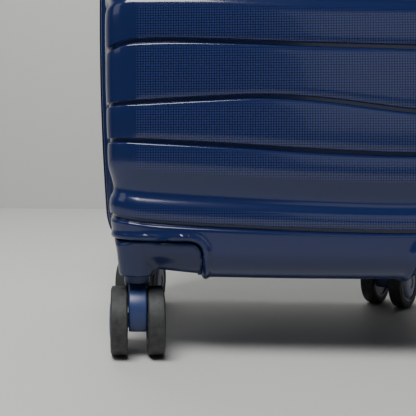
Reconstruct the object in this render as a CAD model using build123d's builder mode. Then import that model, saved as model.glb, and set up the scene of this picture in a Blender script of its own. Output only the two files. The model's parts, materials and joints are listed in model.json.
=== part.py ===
from build123d import *
import os
from math import cos, radians, sin

os.makedirs("parts", exist_ok=True)

# Cabin spinner suitcase, millimetres.  +Z is up, -Y is the lid's front face, and
# the origin is on the floor under the middle of the closed case.

# ---- Driving dimensions -------------------------------------------------------
CASE_DEPTH = 230.0            # front face to rear face
MID_Z = 299.0                 # height of the middle of the shells
WALL = 3.0                    # moulded shell wall

RIM_HALF_WIDTH = 168.0        # shell wall beside the zip
RIM_HALF_HEIGHT = 241.0
RIM_CORNER = 51.0
RIM_SIDE_BOW = 11.0           # how far the tall sides bulge
FACE_HALF_WIDTH = 156.0       # shell wall at the front and rear faces
FACE_HALF_HEIGHT = 234.0
FACE_CORNER = 45.0
FACE_SIDE_BOW = 5.0
END_BOW = 2.0
FACE_EDGE_RADIUS = 24.0

ZIP_HALF = 3.0                # each half of the zip, measured from the split line
SPLIT_GAP = 0.25              # lid and base stop this far short of the split line
FLANGE_END = 9.0              # where the rim flange meets the wall
LID_FLANGE_PROUD = 3.8
BASE_FLANGE_PROUD = 7.0
ZIP_PROUD = 4.0
ZIP_THICK = 4.0

HOUSING_INNER_X = 83.0        # wheel housings fill the four lower corners
HOUSING_INNER_Y = 42.0
HOUSING_TOP_Z = 95.0
HOUSING_FLOOR_Z = 66.0
HOUSING_FLOOR = 4.0
HOUSING_FLANGE = 9.0
HOUSING_ARC = 11.0

CASTER_X = 133.0
CASTER_Y = 80.0
WHEEL_RADIUS = 27.5
TRAIL = 10.0                  # the wheels run this far behind the swivel pin
RUN_CLEARANCE = 0.05          # radial play of a shaft in its hole

TUBE_X = 66.0                 # telescopic handle
TUBE_Y = 99.5
STAGE_PLAY = 0.3
TRAY_FLOOR_Z = 490.0

HANDLE_PIVOT_Y = 28.0         # both carry handles turn about pins this far back

HALF_DEPTH = CASE_DEPTH / 2
FAR = 400.0                   # larger than the case, for cutting tools


# ---- Shared shapes ------------------------------------------------------------
def upright(y):
    """Plane across the case at depth y: local x is X and local y is height."""
    return Plane(origin=(0, y, MID_Z), x_dir=(1, 0, 0), z_dir=(0, -1, 0))


def outline(half_width, half_height, side_bow, corner):
    """Rounded rectangle with gently bulging sides, drawn in the open sketch."""
    x, y = half_width - side_bow, half_height - END_BOW
    with BuildLine() as edge:
        ThreePointArc((-x, -y), (0, -half_height), (x, -y))
        ThreePointArc((x, -y), (half_width, 0), (x, y))
        ThreePointArc((x, y), (0, half_height), (-x, y))
        ThreePointArc((-x, y), (-half_width, 0), (-x, -y))
    made = make_face(edge.edges())
    fillet(made.vertices(), radius=corner)


def rim_outline(offset):
    outline(RIM_HALF_WIDTH + offset, RIM_HALF_HEIGHT + offset, RIM_SIDE_BOW, RIM_CORNER + offset)


def pan(side, inset, mouth=FLANGE_END / 2):
    """Solid half of the case: side is -1 for the lid and 1 for the base."""
    with BuildPart() as body:
        with BuildSketch(upright(side * mouth)):
            rim_outline(-inset)
        with BuildSketch(upright(side * (HALF_DEPTH - inset))):
            outline(
                FACE_HALF_WIDTH - inset,
                FACE_HALF_HEIGHT - inset,
                FACE_SIDE_BOW,
                FACE_CORNER - inset,
            )
        loft(ruled=True)
        face_edges = body.edges().group_by(Axis.Y)[0 if side < 0 else -1]
        fillet(face_edges, radius=FACE_EDGE_RADIUS - inset)
    return body.part


def rim_ring(side, near, far, outer, inner):
    """Ring that follows the rim between two depths, outer and inner past the wall."""
    with BuildPart() as ring:
        with BuildSketch(upright(side * near)):
            rim_outline(outer)
        extrude(amount=-side * (far - near))
        with BuildSketch(upright(side * near)):
            rim_outline(inner)
        extrude(amount=-side * (far - near), mode=Mode.SUBTRACT)
    return ring.part


def block(x, y, z):
    """Box between three pairs of coordinates."""
    (x0, x1), (y0, y1), (z0, z1) = sorted(x), sorted(y), sorted(z)
    centre = ((x0 + x1) / 2, (y0 + y1) / 2, (z0 + z1) / 2)
    with BuildPart() as made:
        with Locations(centre):
            Box(x1 - x0, y1 - y0, z1 - z0)
    return made.part


def corner_block(end, side):
    """Block that a wheel housing fills: end is -1 left or 1 right."""
    with BuildPart() as made:
        add(
            block(
                (end * HOUSING_INNER_X, end * FAR),
                (side * HOUSING_INNER_Y, side * FAR),
                (0, HOUSING_TOP_Z),
            )
        )
        inner = made.edges().filter_by(Axis.Y).group_by(Axis.Z)[-1].sort_by(Axis.X)
        fillet(inner[-1 if end < 0 else 0], radius=HOUSING_ARC)
    return made.part


def save(part, label):
    part.label = label
    export_step(part, f"parts/{label}.step")


SIDE_NAME = {-1: "front", 1: "rear"}
END_NAME = {-1: "left", 1: "right"}
SIDES = (-1, 1)

outer_pan = {side: pan(side, 0) for side in SIDES}
inner_pan = {side: pan(side, WALL) for side in SIDES}

# ---- Bezel pocket, lock hole and screw places that the shells are cut for -----
TRAY_HALF = 84.0
TRAY_WALL = 3.0
TRAY_INNER_Y = 84.0
tray_space = block(
    (-TRAY_HALF, TRAY_HALF), (TRAY_INNER_Y, FAR), (TRAY_FLOOR_Z - TRAY_WALL, FAR * 2)
)

LOCK_X = (152.0, 172.6)
LOCK_Y = (12.5, 33.5)
LOCK_Z = (394.0, 450.0)
lock_space = block(LOCK_X, LOCK_Y, LOCK_Z)

SCREW_R = 1.6
SCREW_HEAD_R = 3.4
SCREW_HEAD = 2.0
SCREW_BITE = 1.5              # how deep a screw enters the shell wall
SCREW_Z = HOUSING_TOP_Z + HOUSING_FLANGE / 2
SCREW_XS = (96.0, 119.0)


def screw_axis(side, x):
    """Plane on the inside of a housing flange, looking outwards along the screw."""
    inside = side * (HALF_DEPTH - 2 * WALL)
    return Plane(origin=(x, inside, SCREW_Z), x_dir=(1, 0, 0), z_dir=(0, side, 0))


def screw_shanks(side):
    with BuildPart() as shanks:
        for end in (-1, 1):
            for x in SCREW_XS:
                with BuildSketch(screw_axis(side, end * x)):
                    Circle(SCREW_R)
                extrude(amount=WALL + SCREW_BITE)
    return shanks.part


# ---- Shells -------------------------------------------------------------------
for side in SIDES:
    flange_proud = LID_FLANGE_PROUD if side < 0 else BASE_FLANGE_PROUD
    with BuildPart() as shell:
        add(outer_pan[side])
        add(block((-FAR, FAR), (0, side * (ZIP_HALF + 2)), (0, FAR * 2)), mode=Mode.SUBTRACT)
        add(rim_ring(side, ZIP_HALF, FLANGE_END, flange_proud, -WALL - 1))
        add(inner_pan[side], mode=Mode.SUBTRACT)
        for end in (-1, 1):
            add(corner_block(end, side), mode=Mode.SUBTRACT)
        add(screw_shanks(side), mode=Mode.SUBTRACT)
        if side > 0:
            add(tray_space, mode=Mode.SUBTRACT)
            add(lock_space, mode=Mode.SUBTRACT)
    save(shell.part, f"{SIDE_NAME[side]}_shell")

# ---- Zip: a taped coil on each rim, and two sliders ---------------------------
for side in SIDES:
    save(
        rim_ring(side, SPLIT_GAP, ZIP_HALF, ZIP_PROUD, ZIP_PROUD - ZIP_THICK),
        f"{SIDE_NAME[side]}_zip_tape",
    )

SLIDER_X = (173.6, 175.0)
SLIDER_Y = (-4.6, 2.6)
SLIDER_LENGTH = 12.0
TAB_Y = (-3.4, 1.4)
TAB_LENGTH = 22.0
for name, slider_z, lean in (("upper", 410.0, 2.4), ("lower", 376.0, 1.2)):
    slider_x = tuple(x - lean for x in SLIDER_X)
    with BuildPart() as slider:
        add(block(slider_x, SLIDER_Y, (slider_z, slider_z + SLIDER_LENGTH)))
        fillet(slider.edges().filter_by(Axis.X), radius=2.0)
        add(block(slider_x, TAB_Y, (slider_z - TAB_LENGTH, slider_z + 2)))
        with Locations((sum(slider_x) / 2, sum(TAB_Y) / 2, slider_z - TAB_LENGTH + 4)):
            Cylinder(1.2, 8, rotation=(0, 90, 0), mode=Mode.SUBTRACT)
    save(slider.part, f"zip_slider_{name}")

# ---- Wheel housings and their screws ------------------------------------------
LEG_SIZE = (31.0, 50.0)       # foot of the housing that each fork turns under
LEG_RADIUS = 12.0
LEG_TOP_Z = 90.0
BOSS_R = 12.0
KINGPIN_R = 4.0
KINGPIN_TOP = 86.0
KINGPIN_LOW = 44.0
KINGPIN_HEAD_R = 7.0
for side in SIDES:
    for end in (-1, 1):
        inner_x = end * (HOUSING_INNER_X + WALL)
        inner_y = side * (HOUSING_INNER_Y + WALL)
        floor_top = HOUSING_FLOOR_Z + HOUSING_FLOOR
        with BuildPart() as hollow:
            add(inner_pan[side])
            add(
                block((inner_x, end * FAR), (inner_y, side * FAR), (floor_top, FAR)),
                mode=Mode.INTERSECT,
            )
        with BuildPart() as lip_hollow:
            add(pan(side, 2 * WALL))
            add(
                block((inner_x, end * FAR), (inner_y, side * FAR), (floor_top, FAR)),
                mode=Mode.INTERSECT,
            )
        with BuildPart() as lip:
            add(hollow.part)
            add(
                block(
                    (inner_x, end * FAR),
                    (inner_y, side * FAR),
                    (HOUSING_TOP_Z - 2, HOUSING_TOP_Z + HOUSING_FLANGE),
                ),
                mode=Mode.INTERSECT,
            )
        with BuildPart() as housing:
            add(outer_pan[side])
            add(corner_block(end, side), mode=Mode.INTERSECT)
            add(
                block((inner_x, end * FAR), (inner_y, side * FAR), (0, HOUSING_FLOOR_Z)),
                mode=Mode.SUBTRACT,
            )
            with BuildSketch(Plane.XY.offset(HOUSING_FLOOR_Z)):
                with Locations((end * CASTER_X, side * CASTER_Y)):
                    RectangleRounded(*LEG_SIZE, LEG_RADIUS)
            extrude(amount=LEG_TOP_Z - HOUSING_FLOOR_Z)
            add(hollow.part, mode=Mode.SUBTRACT)
            add(lip.part)
            add(lip_hollow.part, mode=Mode.SUBTRACT)
            with BuildSketch(Plane.XY.offset(floor_top)):
                with Locations((end * CASTER_X, side * CASTER_Y)):
                    Circle(BOSS_R)
            extrude(amount=KINGPIN_TOP - floor_top)
            with BuildSketch(Plane.XY.offset(HOUSING_FLOOR_Z)):
                with Locations((end * CASTER_X, side * CASTER_Y)):
                    Circle(KINGPIN_R)
            extrude(amount=KINGPIN_TOP, mode=Mode.SUBTRACT)
            add(screw_shanks(side), mode=Mode.SUBTRACT)
        save(housing.part, f"{SIDE_NAME[side]}_housing_{END_NAME[end]}")

    with BuildPart() as screws:
        add(screw_shanks(side))
        for end in (-1, 1):
            for x in SCREW_XS:
                with BuildSketch(screw_axis(side, end * x)):
                    Circle(SCREW_HEAD_R)
                extrude(amount=-SCREW_HEAD)
    save(screws.part, f"{SIDE_NAME[side]}_housing_screws")

    with BuildPart() as kingpins:
        with BuildSketch(Plane.XY.offset(KINGPIN_LOW)):
            with Locations((-CASTER_X, side * CASTER_Y), (CASTER_X, side * CASTER_Y)):
                Circle(KINGPIN_R)
        extrude(amount=KINGPIN_TOP - KINGPIN_LOW)
        with BuildSketch(Plane.XY.offset(KINGPIN_TOP)):
            with Locations((-CASTER_X, side * CASTER_Y), (CASTER_X, side * CASTER_Y)):
                Circle(KINGPIN_HEAD_R)
        extrude(amount=3.0)
    save(kingpins.part, f"{SIDE_NAME[side]}_kingpins")

# ---- Casters: a fork on each kingpin and a pair of wheels on its axle ---------
FORK_HALF = 6.2
NECK_R = 10.8
NECK_Z = (57.0, 65.2)
FORK_DISC_R = 20.0
FORK_LOW_Z = 15.0
AXLE_R = 2.5
AXLE_HALF = 20.0
TREAD = (9.3, 21.8)           # a tyre's two faces, out from the fork's middle
TYRE_BORE_R = 21.0
HUB_BOSS_R = 6.0
HUB_BOSS_IN = 6.5
HUB_DOME_R = 16.0
HUB_FACE = 23.3


def caster_plane(x, y, yaw):
    """Plane on the floor under a kingpin, turned with the fork."""
    return Plane(
        origin=(x, y, 0), x_dir=(cos(radians(yaw)), sin(radians(yaw)), 0), z_dir=(0, 0, 1)
    )


def axle_plane(ground, out, hand):
    """Plane across the axle, out from the fork's middle, facing left or right."""
    centre = ground.from_local_coords(Vector(hand * out, -TRAIL, WHEEL_RADIUS))
    return Plane(origin=centre, x_dir=(0, 0, 1), z_dir=ground.x_dir * hand)


CASTERS = {                   # name: place of the kingpin and how far the fork is turned
    "front_left": (-CASTER_X, -CASTER_Y, 4.0),
    "front_right": (CASTER_X, -CASTER_Y, -7.0),
    "rear_left": (-CASTER_X, CASTER_Y, -15.0),
    "rear_right": (CASTER_X, CASTER_Y, 138.0),
}

for name, (x, y, yaw) in CASTERS.items():
    ground = caster_plane(x, y, yaw)
    middle = axle_plane(ground, 0, 1)
    with BuildPart() as fork:
        with BuildSketch(middle):
            Circle(FORK_DISC_R)
            with Locations((NECK_Z[0] - WHEEL_RADIUS - 11, -TRAIL + 1.5)):
                Rectangle(24, 21)
            with Locations((-FORK_DISC_R - WHEEL_RADIUS + FORK_LOW_Z, 0)):
                Rectangle(2 * FORK_DISC_R, 3 * FORK_DISC_R, mode=Mode.SUBTRACT)
        extrude(amount=FORK_HALF, both=True)
        with BuildSketch(ground.offset(NECK_Z[0] - 2)):
            Circle(NECK_R)
        extrude(amount=NECK_Z[1] - NECK_Z[0] + 2)
        with BuildSketch(ground.offset(KINGPIN_LOW - 0.5)):
            Circle(KINGPIN_R + RUN_CLEARANCE)
        extrude(amount=NECK_Z[1], mode=Mode.SUBTRACT)
        with BuildSketch(middle):
            Circle(AXLE_R)
        extrude(amount=2 * FORK_HALF, both=True, mode=Mode.SUBTRACT)
    save(fork.part, f"fork_{name}")

    with BuildPart() as axle:
        with BuildSketch(middle):
            Circle(AXLE_R)
        extrude(amount=AXLE_HALF, both=True)
    save(axle.part, f"axle_{name}")

    for hand in (-1, 1):
        label = f"{name}_{'outer' if hand * x > 0 else 'inner'}"
        with BuildPart() as tyre:
            with BuildSketch(axle_plane(ground, TREAD[0], hand)):
                Circle(WHEEL_RADIUS)
            extrude(amount=TREAD[1] - TREAD[0])
            fillet(tyre.edges(), radius=2.2)
            with BuildSketch(axle_plane(ground, TREAD[0], hand)):
                Circle(TYRE_BORE_R)
            extrude(amount=TREAD[1] - TREAD[0], mode=Mode.SUBTRACT)
        save(tyre.part, f"tyre_{label}")

        with BuildPart() as hub:
            with BuildSketch(axle_plane(ground, TREAD[0], hand)):
                Circle(TYRE_BORE_R)
            extrude(amount=TREAD[1] - TREAD[0])
            with BuildSketch(axle_plane(ground, TREAD[1], hand)):
                Circle(HUB_DOME_R)
            extrude(amount=HUB_FACE - TREAD[1], taper=45)
            with BuildSketch(axle_plane(ground, HUB_BOSS_IN, hand)):
                Circle(HUB_BOSS_R)
            extrude(amount=TREAD[0] - HUB_BOSS_IN)
            with BuildSketch(axle_plane(ground, HUB_BOSS_IN, hand)):
                Circle(AXLE_R + RUN_CLEARANCE)
            extrude(amount=AXLE_HALF + 0.3 - HUB_BOSS_IN, mode=Mode.SUBTRACT)
        save(hub.part, f"hub_{label}")

# ---- Telescopic handle --------------------------------------------------------
TUBE_WALL = 1.0
OUTER_TUBE = (22.0, 13.0)
FOOT_TOP_Z = 84.0
STAGES = (                    # name, how many steps in, bottom and top when pushed in
    ("trolley_outer_tubes", 0, FOOT_TOP_Z, TRAY_FLOOR_Z),
    ("trolley_middle_tubes", 1, 92.0, 493.0),
    ("trolley_inner_tubes", 2, 94.0, 508.0),
)
STEP_IN = 2 * (TUBE_WALL + STAGE_PLAY)


def tube_sketch(steps, shrink=0.0):
    """Both tubes' sections, a number of telescope steps inside the outer tube."""
    with Locations((-TUBE_X, TUBE_Y), (TUBE_X, TUBE_Y)):
        RectangleRounded(
            OUTER_TUBE[0] - steps * STEP_IN - shrink,
            OUTER_TUBE[1] - steps * STEP_IN - shrink,
            3.0 - 0.6 * steps - shrink / 4,
        )


for name, steps, low, high in STAGES:
    with BuildPart() as tubes:
        with BuildSketch(Plane.XY.offset(low)):
            tube_sketch(steps)
        extrude(amount=high - low)
        with BuildSketch(Plane.XY.offset(low)):
            tube_sketch(steps, 2 * TUBE_WALL)
        extrude(amount=high - low, mode=Mode.SUBTRACT)
    save(tubes.part, name)

with BuildPart() as tray:
    add(outer_pan[1])
    add(tray_space, mode=Mode.INTERSECT)
    inside = TRAY_HALF - TRAY_WALL
    add(
        block((-inside, inside), (TRAY_INNER_Y + TRAY_WALL, FAR), (TRAY_FLOOR_Z, FAR * 2)),
        mode=Mode.SUBTRACT,
    )
    with BuildSketch(Plane.XY.offset(TRAY_FLOOR_Z - 2 * TRAY_WALL)):
        tube_sketch(0)
    extrude(amount=3 * TRAY_WALL, mode=Mode.SUBTRACT)
save(tray.part, "trolley_bezel")

with BuildPart() as foot:
    add(inner_pan[1])
    add(
        block((-80, 80), (TUBE_Y - 8, TUBE_Y + 8), (0, FOOT_TOP_Z)),
        mode=Mode.INTERSECT,
    )
save(foot.part, "trolley_foot")

GRIP_HALF = 79.0
GRIP_Y = (90.0, 109.0)
GRIP_Z = (514.0, 531.5)
GRIP_LEG_LOW_Z = 497.0
BUTTON_HALF = (16.0, 5.0)
BUTTON_Z = (527.5, 532.6)
BUTTON_TRAVEL = 4.0
grip_mid_y = sum(GRIP_Y) / 2
with BuildPart() as grip:
    add(block((-GRIP_HALF, GRIP_HALF), GRIP_Y, GRIP_Z))
    fillet(grip.edges().filter_by(Axis.X), radius=5.0)
    for end in (-1, 1):
        add(
            block(
                (end * (TUBE_X - 12), end * (TUBE_X + 12)),
                (TUBE_Y - 8, TUBE_Y + 8),
                (GRIP_LEG_LOW_Z, GRIP_Z[0] + 4),
            )
        )
    with BuildSketch(Plane.XY.offset(GRIP_LEG_LOW_Z)):
        tube_sketch(2)
    extrude(amount=508.0 - GRIP_LEG_LOW_Z, mode=Mode.SUBTRACT)
    with BuildSketch(Plane.XY.offset(GRIP_Z[1])):
        with Locations((0, grip_mid_y)):
            Rectangle(2 * BUTTON_HALF[0] + 0.6, 2 * BUTTON_HALF[1] + 0.6)
    extrude(amount=-(GRIP_Z[1] - BUTTON_Z[0] + BUTTON_TRAVEL + 0.3), mode=Mode.SUBTRACT)
save(grip.part, "trolley_grip")

with BuildPart() as button:
    with BuildSketch(Plane.XY.offset(BUTTON_Z[0])):
        with Locations((0, grip_mid_y)):
            RectangleRounded(2 * BUTTON_HALF[0], 2 * BUTTON_HALF[1], 3.0)
    extrude(amount=BUTTON_Z[1] - BUTTON_Z[0])
    fillet(button.faces().sort_by(Axis.Z)[-1].edges(), radius=1.0)
save(button.part, "trolley_button")

# ---- Carry handles on pins in their seats -------------------------------------
ARM_IN, ARM_OUT = 60.0, 72.0
PIN_REACH = 8.0
SEAT_LENGTH = 17.0
TRUNNION_R = 2.4
BAR_Y = (56.0, 72.0)
TOP_PIVOT_Z = 545.8
TOP_ARM_R = 4.0
SIDE_PIVOT_X = 171.4
SIDE_ARM_R = 3.4


def carry_handle(pivot, along, out, arm_r):
    """Bail lying back from its pivot; along is its pin direction, out is off the shell."""
    with BuildPart() as bail:
        for hand in (-1, 1):
            start = pivot + along * (hand * ARM_OUT)
            arm = Plane(origin=start, x_dir=(0, 1, 0), z_dir=along * -hand)
            with BuildSketch(arm):
                Circle(arm_r)
                with Locations(((BAR_Y[1] - HANDLE_PIVOT_Y) / 2, 0)):
                    Rectangle(BAR_Y[1] - HANDLE_PIVOT_Y, 2 * arm_r)
            extrude(amount=ARM_OUT - ARM_IN)
            with BuildSketch(arm):
                Circle(TRUNNION_R)
            extrude(amount=-PIN_REACH)
        bar = Plane(origin=pivot - along * ARM_OUT, x_dir=(0, 1, 0), z_dir=along)
        with BuildSketch(bar):
            with Locations(((BAR_Y[0] + BAR_Y[1]) / 2 - HANDLE_PIVOT_Y, 0)):
                RectangleRounded(BAR_Y[1] - BAR_Y[0], 2 * arm_r, arm_r * 0.8)
        extrude(amount=2 * ARM_OUT)
    return bail.part


top_pivot = Vector(0, HANDLE_PIVOT_Y, TOP_PIVOT_Z)
side_pivot = Vector(SIDE_PIVOT_X, HANDLE_PIVOT_Y, MID_Z)
save(carry_handle(top_pivot, Vector(1, 0, 0), Vector(0, 0, 1), TOP_ARM_R), "top_handle")
save(carry_handle(side_pivot, Vector(0, 0, 1), Vector(1, 0, 0), SIDE_ARM_R), "side_handle")

SEAT_NEAR = ARM_OUT + 1.0
SEAT_FAR = SEAT_NEAR + SEAT_LENGTH
SEAT_Y = (HANDLE_PIVOT_Y - 9, HANDLE_PIVOT_Y + 9)
with BuildPart() as seats:
    for hand in (-1, 1):
        add(block((hand * SEAT_NEAR, hand * SEAT_FAR), SEAT_Y, (500, TOP_PIVOT_Z + TOP_ARM_R)))
        add(
            block(
                (140, SIDE_PIVOT_X + SIDE_ARM_R),
                SEAT_Y,
                (MID_Z + hand * SEAT_NEAR, MID_Z + hand * SEAT_FAR),
            )
        )
    add(outer_pan[1], mode=Mode.SUBTRACT)
    for pivot, along in ((top_pivot, Vector(1, 0, 0)), (side_pivot, Vector(0, 0, 1))):
        with BuildSketch(Plane(origin=pivot, x_dir=(0, 1, 0), z_dir=along)):
            Circle(TRUNNION_R + 0.08)
        extrude(amount=ARM_OUT + PIN_REACH + 0.4, both=True, mode=Mode.SUBTRACT)
save(seats.part, "handle_seats")

# ---- Combination lock ---------------------------------------------------------
DIAL_X = 167.5
DIAL_Y = 23.0
DIAL_ZS = (424.5, 432.0, 439.5)
DIAL_R = 6.5
DIAL_HALF = 2.9
SPINDLE_R = 1.5
KEY_Z = 416.5
KEY_R = 3.4
BUTTON_LOCK_Z = (402.0, 410.0)
BUTTON_LOCK_Y = (18.0, 28.0)
with BuildPart() as lock_case:
    add(lock_space)
    for dial_z in DIAL_ZS:
        add(
            block(
                (DIAL_X - DIAL_R - 0.4, FAR),
                (DIAL_Y - DIAL_R - 0.4, DIAL_Y + DIAL_R + 0.4),
                (dial_z - DIAL_HALF - 0.3, dial_z + DIAL_HALF + 0.3),
            ),
            mode=Mode.SUBTRACT,
        )
    with BuildSketch(Plane(origin=(DIAL_X, DIAL_Y, DIAL_ZS[0] - 4), z_dir=(0, 0, 1))):
        Circle(SPINDLE_R)
    extrude(amount=DIAL_ZS[-1] - DIAL_ZS[0] + 8)
    with BuildSketch(Plane(origin=(LOCK_X[1], DIAL_Y, KEY_Z), x_dir=(0, 1, 0), z_dir=(1, 0, 0))):
        Circle(KEY_R + RUN_CLEARANCE)
    extrude(amount=-8, mode=Mode.SUBTRACT)
    add(
        block(
            (LOCK_X[1] - 4, FAR),
            (BUTTON_LOCK_Y[0] - 0.3, BUTTON_LOCK_Y[1] + 0.3),
            (BUTTON_LOCK_Z[0] - 5.3, BUTTON_LOCK_Z[1] + 0.3),
        ),
        mode=Mode.SUBTRACT,
    )
save(lock_case.part, "lock_case")

for number, dial_z in enumerate(DIAL_ZS, 1):
    with BuildPart() as dial:
        with BuildSketch(Plane(origin=(DIAL_X, DIAL_Y, dial_z - DIAL_HALF), z_dir=(0, 0, 1))):
            Circle(DIAL_R)
            with PolarLocations(DIAL_R, 10):
                Circle(0.7, mode=Mode.SUBTRACT)
            Circle(SPINDLE_R + RUN_CLEARANCE, mode=Mode.SUBTRACT)
        extrude(amount=2 * DIAL_HALF)
    save(dial.part, f"lock_dial_{number}")

with BuildPart() as key_plug:
    with BuildSketch(Plane(origin=(LOCK_X[1], DIAL_Y, KEY_Z), x_dir=(0, 1, 0), z_dir=(1, 0, 0))):
        Circle(KEY_R)
    extrude(amount=-7.6)
    with BuildSketch(Plane(origin=(LOCK_X[1], DIAL_Y, KEY_Z), x_dir=(0, 1, 0), z_dir=(1, 0, 0))):
        Rectangle(1.0, 3.6)
    extrude(amount=-4.0, mode=Mode.SUBTRACT)
save(key_plug.part, "lock_key_plug")

with BuildPart() as release:
    add(block((LOCK_X[1] - 3.7, LOCK_X[1] + 1.6), BUTTON_LOCK_Y, BUTTON_LOCK_Z))
    fillet(release.faces().sort_by(Axis.X)[-1].edges(), radius=0.8)
save(release.part, "lock_release")

# ---- Fabric inside: linings, hinge tape, pocket and packing straps ------------
LINING_OUT = 3.3
LINING_IN = 4.5
LINING_START = 10.0
BASE_LINING_DEPTH = 83.7
TUBE_COVER_Y = 82.5
TUBE_COVER_CLEARANCE = 0.6
pocket_y = -(HALF_DEPTH - LINING_IN)


def lining_room(side, inset, near, far):
    """Solid slice of a shell's inside between two depths, cut clear of the wheel housings."""
    with BuildPart() as room:
        add(pan(side, inset))
        add(block((-FAR, FAR), (side * near, side * far), (0, FAR * 2)), mode=Mode.INTERSECT)
        for end in (-1, 1):
            add(
                block(
                    (end * (HOUSING_INNER_X - 1), end * FAR),
                    (side * (HOUSING_INNER_Y - 1), side * FAR),
                    (0, HOUSING_TOP_Z + HOUSING_FLANGE + 1),
                ),
                mode=Mode.SUBTRACT,
            )
    return room.part


with BuildPart() as front_lining:
    add(lining_room(-1, LINING_OUT, LINING_START, HALF_DEPTH))
    add(pan(-1, LINING_IN, mouth=0), mode=Mode.SUBTRACT)
    add(block((-112, 112), (pocket_y, pocket_y + 2), (140, 450)))
save(front_lining.part, "front_lining")

with BuildPart() as rear_lining:
    add(lining_room(1, LINING_OUT, LINING_START, BASE_LINING_DEPTH))
    add(pan(1, LINING_IN, mouth=0), mode=Mode.SUBTRACT)
    add(block((150, 200), (11, 35), (392, 452)), mode=Mode.SUBTRACT)
save(rear_lining.part, "rear_lining")

cover_inset = LINING_IN + TUBE_COVER_CLEARANCE
save(lining_room(1, cover_inset, TUBE_COVER_Y, BASE_LINING_DEPTH), "tube_cover")

with BuildPart() as hinge_tape:
    add(rim_ring(1, SPLIT_GAP + 0.3, LINING_START - 0.5, -WALL - 1.6, -WALL - 2.6))
    add(block((-FAR, -150), (0, 20), (150, 450)), mode=Mode.INTERSECT)
save(hinge_tape.part, "hinge_tape")

with BuildPart() as straps:
    for end in (-1, 1):
        add(block((end * 22, end * 150), (TUBE_COVER_Y, TUBE_COVER_Y - 1.6), (MID_Z - 12.5, MID_Z + 12.5)))
save(straps.part, "packing_straps")

with BuildPart() as buckle:
    add(block((-22, 22), (TUBE_COVER_Y, TUBE_COVER_Y - 6), (MID_Z - 17, MID_Z + 17)))
    fillet(buckle.edges().filter_by(Axis.Y), radius=6.0)
save(buckle.part, "strap_buckle")
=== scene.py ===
import json
from math import asin, cos, pi, radians, sin, sqrt, tan

import bmesh
import bpy
import numpy as np
from mathutils import Matrix, Vector, noise


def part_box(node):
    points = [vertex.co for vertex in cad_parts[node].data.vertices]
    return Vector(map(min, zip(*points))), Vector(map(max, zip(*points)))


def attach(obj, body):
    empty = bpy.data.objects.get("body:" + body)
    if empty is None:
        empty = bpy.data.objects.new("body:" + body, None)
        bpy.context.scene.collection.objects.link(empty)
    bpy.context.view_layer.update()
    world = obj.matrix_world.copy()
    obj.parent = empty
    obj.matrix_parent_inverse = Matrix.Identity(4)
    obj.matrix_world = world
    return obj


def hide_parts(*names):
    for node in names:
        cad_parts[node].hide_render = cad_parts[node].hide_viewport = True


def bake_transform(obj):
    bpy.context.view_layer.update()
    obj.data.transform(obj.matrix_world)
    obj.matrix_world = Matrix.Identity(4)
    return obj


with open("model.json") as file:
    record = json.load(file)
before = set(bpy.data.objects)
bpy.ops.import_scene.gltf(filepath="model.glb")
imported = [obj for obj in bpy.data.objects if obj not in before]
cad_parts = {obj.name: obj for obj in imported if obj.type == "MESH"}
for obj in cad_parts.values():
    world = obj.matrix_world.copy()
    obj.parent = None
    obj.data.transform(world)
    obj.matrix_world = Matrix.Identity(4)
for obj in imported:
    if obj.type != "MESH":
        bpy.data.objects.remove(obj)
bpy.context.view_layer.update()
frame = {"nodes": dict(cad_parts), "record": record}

# ================================================================ Camera
# The view from low in front of the left corner, level with the wheels, that shows
# the lower part of the lid, one wheel housing and its caster.
MM = 0.001
camera_data = bpy.data.cameras.new("camera")
camera_data.lens = 47.6
camera_data.sensor_width = 36.0
camera_data.shift_x = 0.182
camera_data.shift_y = -0.0986
camera = bpy.data.objects.new("camera", camera_data)
camera.location = (-0.1108, -0.5395, 0.1526)
camera.rotation_euler = (radians(90.0), 0.0, radians(3.27))
bpy.context.scene.collection.objects.link(camera)
bpy.context.scene.camera = camera


# ================================================================ Shells
# Two injected polypropylene pans, navy and glossy, that meet at the zip.  Moulded
# grooves run round each one and stiffen it, with scooped channels between them,
# and the flat bands of the face carry a fine square grain.
LID = "lid"
BASE = "base"
SIDES = {LID: -1, BASE: 1}
front_low, front_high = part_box("front_shell")
MID_Z = (front_low.z + front_high.z) / 2 / MM

FACE_Y = 115.0                # mm from the split line to the face
FLAT_HALF_WIDTH = 134.6       # flat part of the face, inside the rolled edge
FLAT_HALF_HEIGHT = 211.5
FLAT_CORNER = 22.5
FACE_BOW = 5.0
ROLL = 24.0                   # radius of the rolled edge
ROLL_END = radians(85.0)
RIM_HALF_WIDTH = 168.0
RIM_HALF_HEIGHT = 241.0
RIM_BOW = 11.0
RIM_Y = 9.9
END_BOW = 2.0
SHELL_WALL = 2.6

CUT_X = 80.5                  # corner that a wheel housing fills
CUT_Y = 42.0
CUT_Z = 95.0
CUT_ARC = 11.0
TRAY_X = 84.0                 # pocket for the trolley grip in the base
TRAY_Y = 84.0
TRAY_Z = 487.0

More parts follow.
